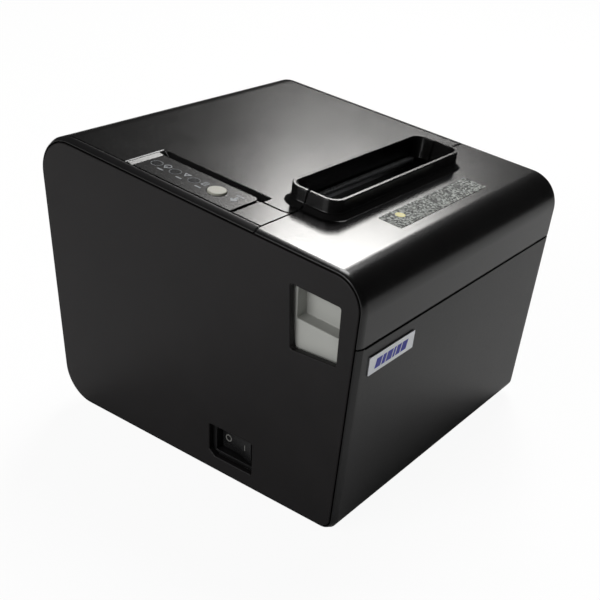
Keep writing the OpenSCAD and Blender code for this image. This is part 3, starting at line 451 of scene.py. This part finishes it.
def panel_symbols():
    """Plain symbols beside the lights and the button, and a thin ring round each light."""
    ink = moulded_plastic("symbol_ink", (0.26, 0.28, 0.30), 0.5, 0.002, 4.0, 0.1)
    below_light, feed_up = 4.8, -13.1

    def place(up, out, level):
        # symbols read from the left side of the printer
        return on_top(LIGHTS_X - out, up, PLATE_LEVEL + level)

    marks_up = [up - below_light for up in LIGHTS_UP]
    marks = [[disc(up, 0, 2.42), disc(up, 0, 2.24)] for up in LIGHTS_UP]
    for symbol, up in zip((power_symbol, fault_symbol, paper_symbol), marks_up):
        marks += symbol(up)
    marks += [[oblong(up, 3.1, 3.0, 0.7)] for up in marks_up]
    marks += feed_symbol(feed_up)
    printed("panel_symbols", marks, place, *INK_LEVELS, "casing", "panel_plate", ink)


# ------------------------------------------------------------------ other pieces

FOOT_X, REAR_FOOT_Y = 56, 51.5
FOOT_REACH = (4.8, 6.0)  # how much further out and back the rear feet go


def widen_rear_feet(co):
    """The rear feet reach further out under the rounded corners."""
    if co.y > 0:
        if abs(co.x) > FOOT_X * MM:
            co.x += math.copysign(FOOT_REACH[0] * MM, co.x)
        if co.y > REAR_FOOT_Y * MM:
            co.y += FOOT_REACH[1] * MM


CHEEK_EDGE = (-54.6, -53.6)  # front edge of the cheek beside the finger recess
CHEEK_OUTER_X, CHEEK_FOOT_Z = -62, 79
RECESS_WIDER = 2.9
LEDGE_Z = (86.0, 87.6)
HOLLOW_TOP_Z = (84.0, 85.2)
LEDGE_REAR_Y, LEDGE_LENGTH = -50, 24
LEDGE_DROP, LEDGE_FALL = 2.4, 2.6  # at its rear end, and further down at its front end


def open_lever(co):
    """Widens the finger recess of the lever and slopes its ledge."""
    x, y, z = co / MM
    if x < CHEEK_OUTER_X and CHEEK_EDGE[0] < y < CHEEK_EDGE[1] and z > CHEEK_FOOT_Z:
        co.y += RECESS_WIDER * MM
    on_ledge = LEDGE_Z[0] < z < LEDGE_Z[1] or HOLLOW_TOP_Z[0] < z < HOLLOW_TOP_Z[1]
    if on_ledge and y < LEDGE_REAR_Y + 2:
        co.z -= (LEDGE_DROP + (LEDGE_REAR_Y - y) / LEDGE_LENGTH * LEDGE_FALL) * MM


def head_coils():
    """The springs behind the print head, smooth shaded, in a piece of their own on the casing."""
    mesh = nodes["head_springs"].data.copy()
    for face in mesh.polygons:
        face.use_smooth = True
    coils = stand("head_coils", mesh, "casing")
    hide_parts("head_springs")
    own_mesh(coils)


ROCKER_PIVOT = Vector((-63.3, -24.0, 17.6))
ROCKER_TURN = math.radians(-7)
ROCKER_LEAN = math.atan2(0.9, 8.5)  # of each half of the face
ROCKER_MIDDLE_X = -3.8
ROCKER_INK = (-0.05, 0.06)


def on_rocker(half, along, up, level):
    """A point on one half of the rocker's face; half is 1 for the rear one, -1 for the front one."""
    x = ROCKER_MIDDLE_X - along * math.sin(ROCKER_LEAN) - level * math.cos(ROCKER_LEAN)
    y = half * (along * math.cos(ROCKER_LEAN) - level * math.sin(ROCKER_LEAN))
    turned = Vector((x * math.cos(ROCKER_TURN) - y * math.sin(ROCKER_TURN),
                     x * math.sin(ROCKER_TURN) + y * math.cos(ROCKER_TURN), up))
    return (ROCKER_PIVOT + turned) * MM


def rocker_marks():
    ink = moulded_plastic("rocker_ink", (0.17, 0.17, 0.16), 0.5, 0.002, 4.0, 0.1)
    off_mark = [[disc(5.0, 0, 1.6), disc(5.0, 0, 1.15)]]
    on_mark = [[oblong(4.6, 0, 0.45, 2.6)]]
    for name, mark, half in (("off_mark", off_mark, 1), ("on_mark", on_mark, -1)):
        printed(name, mark, lambda along, up, level: on_rocker(half, along, up, level), *ROCKER_INK,
                "rocker", "panel_plate", ink)


def label_dot():
    ink = moulded_plastic("yellow_ink", (0.50, 0.44, 0.03), 0.4, 0.004, 3.0, 0.12)
    printed("label_dot", [[disc(-18.9, -59.3, 2.0)]], on_top, 0.1, 0.2, "casing", "silver_label", ink)


FRONT_LEAN = math.radians(3.7)
FRONT_FOOT = (-75.4, 2.5)  # y and z of the front face's lower edge
BADGE_TOP_Z = 78.0


def on_front(x, down, level):
    """A point on the leaning front face, millimetres below the badge's top edge."""
    foot_y, foot_z = FRONT_FOOT
    top_y = foot_y - math.tan(FRONT_LEAN) * (BADGE_TOP_Z - foot_z)
    return Vector((x, top_y + down * math.sin(FRONT_LEAN) - level * math.cos(FRONT_LEAN),
                   BADGE_TOP_Z - down * math.cos(FRONT_LEAN) - level * math.sin(FRONT_LEAN))) * MM


def badge_bars():
    """Plain slanted bars on the badge."""
    ink = moulded_plastic("blue_ink", (0.02, 0.03, 0.55), 0.38, 0.002, 3.0, 0.12)
    top, foot, slant, gap = 2.1, 5.9, 1.0, 0.75
    left = -61.6
    bars = []
    for wide in (3.4, 2.0, 3.4, 1.2, 2.6, 3.4):
        right = left + wide
        bars.append([[(left, foot), (right, foot), (right + slant, top), (left + slant, top)]])
        left = right + gap
    printed("badge_bars", bars, on_front, 0.55, 0.66, "casing", "silver_label", ink)


EASED = {
    "lid": 0.35, "upper_front_cover": 0.35, "lower_casing": 0.3,
    "left_side_panel": 0.35, "right_side_panel": 0.35, "control_tray": 0.2,
    "release_lever": 0.3, "power_rocker": 0.25, "power_switch": 0.2, "feed_button": 0.3,
    "power_light": 0.25, "error_light": 0.25, "paper_light": 0.25, "badge_plate": 0.12,
    "rubber_feet": 0.3,
}
RESHAPE = {
    "release_lever": open_lever, "rubber_feet": widen_rear_feet, "feed_button": lift_to_plate,
    "power_light": lift_to_plate, "error_light": lift_to_plate, "paper_light": lift_to_plate,
}
# joining the flats of the lower casing would close its windows
KEPT_FLATS = ("lower_casing",)


# ------------------------------------------------------------------ studio

FLOOR_REACH = 3.0
FLOOR_GLOW = 1.04  # keeps the floor white for the camera
FLOOR_GLOW_SHARE = 0.9  # the rest is lit paper, which shows the shadow
AIR_LIGHT = 0.03


def link_mix(tree, factor, first, second, output):
    """Mixes two shaders into the surface of an output node."""
    mixer = tree.nodes.new("ShaderNodeMixShader")
    tree.links.new(factor, mixer.inputs[0])
    tree.links.new(first, mixer.inputs[1])
    tree.links.new(second, mixer.inputs[2])
    tree.links.new(mixer.outputs[0], tree.nodes[output].inputs["Surface"])


def studio_floor():
    reach = FLOOR_REACH
    corners = [(-reach, -reach, 0), (reach, -reach, 0), (reach, reach, 0), (-reach, reach, 0)]
    mesh = bpy.data.meshes.new("studio_floor")
    mesh.from_pydata(corners, [], [(0, 1, 2, 3)])
    floor = bpy.data.objects.new("studio_floor", mesh)
    bpy.context.scene.collection.objects.link(floor)
    f = Finish("studio_paper")
    cloud = f.noise(0.004, 2.0)
    f.base(f.mix(cloud, (0.78, 0.78, 0.78), (0.82, 0.82, 0.82)))
    f.rough(0.9)
    white = f.node("ShaderNodeEmission", Strength=FLOOR_GLOW)
    seen = f.value(f.node("ShaderNodeLightPath").outputs["Is Camera Ray"])
    glow = seen * FLOOR_GLOW_SHARE
    link_mix(f.tree, glow.socket, f.shader.outputs[0], white.outputs[0], "Material Output")
    mesh.materials.append(f.material)


def soft_lamp(name, where, aim, size, power, colour=(1, 1, 1)):
    lamp = bpy.data.lights.new(name, "AREA")
    lamp.shape = "RECTANGLE"
    lamp.size, lamp.size_y = size
    lamp.energy = power
    lamp.color = colour
    piece = bpy.data.objects.new(name, lamp)
    piece.location = where
    piece.rotation_euler = (Vector(aim) - Vector(where)).to_track_quat("-Z", "Y").to_euler()
    bpy.context.scene.collection.objects.link(piece)


def from_angles(around, up, far):
    """A place far metres from the printer; around is measured from its right side towards its rear."""
    around, up = math.radians(around), math.radians(up)
    return Vector((math.cos(around) * math.cos(up), math.sin(around) * math.cos(up), math.sin(up))) * far


def studio_lamps():
    """The low softbox gives the gleam on the top, the high one the floor, the fill the left side."""
    soft_lamp("low_softbox", from_angles(28.0, 36.6, 4.0), aim=(0, 0, 0.11), size=(0.825, 0.80), power=45,
              colour=(1.0, 0.985, 0.96))
    soft_lamp("high_softbox", from_angles(17, 60, 1.5), aim=(0, 0, 0), size=(0.6, 0.6), power=10)
    soft_lamp("left_fill", from_angles(172, 22, 1.2), aim=(0, 0, 0.05), size=(0.8, 0.8), power=8)


def studio_world():
    """Weak light from all round, and plain white where the camera looks past the floor."""
    world = bpy.data.worlds.new("studio_air")
    bpy.context.scene.world = world
    world.use_nodes = True
    tree = world.node_tree
    sky = tree.nodes["Background"]
    backdrop = tree.nodes.new("ShaderNodeBackground")
    for shade, strength in ((sky, AIR_LIGHT), (backdrop, 1.0)):
        shade.inputs["Color"].default_value = (1, 1, 1, 1)
        shade.inputs["Strength"].default_value = strength
    seen = tree.nodes.new("ShaderNodeLightPath").outputs["Is Camera Ray"]
    link_mix(tree, seen, sky.outputs[0], backdrop.outputs[0], "World Output")


CAMERA_AT = (-0.307990, -0.232754, 0.237840)
CAMERA_TURN = (1.931870, -0.901764, 0.585553)  # axis times angle, from the world to the view
LENS_MM, SENSOR_MM = 57.685, 36
LENS_SHIFT = (0.00752, 0.08408)


def studio_camera():
    lens = bpy.data.cameras.new("studio_camera")
    lens.sensor_width = SENSOR_MM
    lens.lens = LENS_MM
    lens.shift_x, lens.shift_y = LENS_SHIFT
    lens.clip_start = 0.01
    camera = bpy.data.objects.new("studio_camera", lens)
    turn = Vector(CAMERA_TURN)
    world_to_view = Matrix.Rotation(turn.length, 3, turn.normalized())
    flip = Matrix(((1, 0, 0), (0, -1, 0), (0, 0, -1)))
    camera.matrix_world = Matrix.Translation(CAMERA_AT) @ (world_to_view.transposed() @ flip).to_4x4()
    bpy.context.scene.collection.objects.link(camera)
    bpy.context.scene.camera = camera


# ------------------------------------------------------------------ the whole printer

bpy.context.scene.view_settings.view_transform = "Standard"
studio_camera()
studio_world()
studio_floor()
studio_lamps()
dress_cad_nodes()
for node, radius_mm in EASED.items():
    eased_edges(node, radius_mm, RESHAPE.get(node), node not in KEPT_FLATS)
control_plate()
pocket_ramp()
head_coils()
panel_symbols()
rocker_marks()
label_dot()
badge_bars()
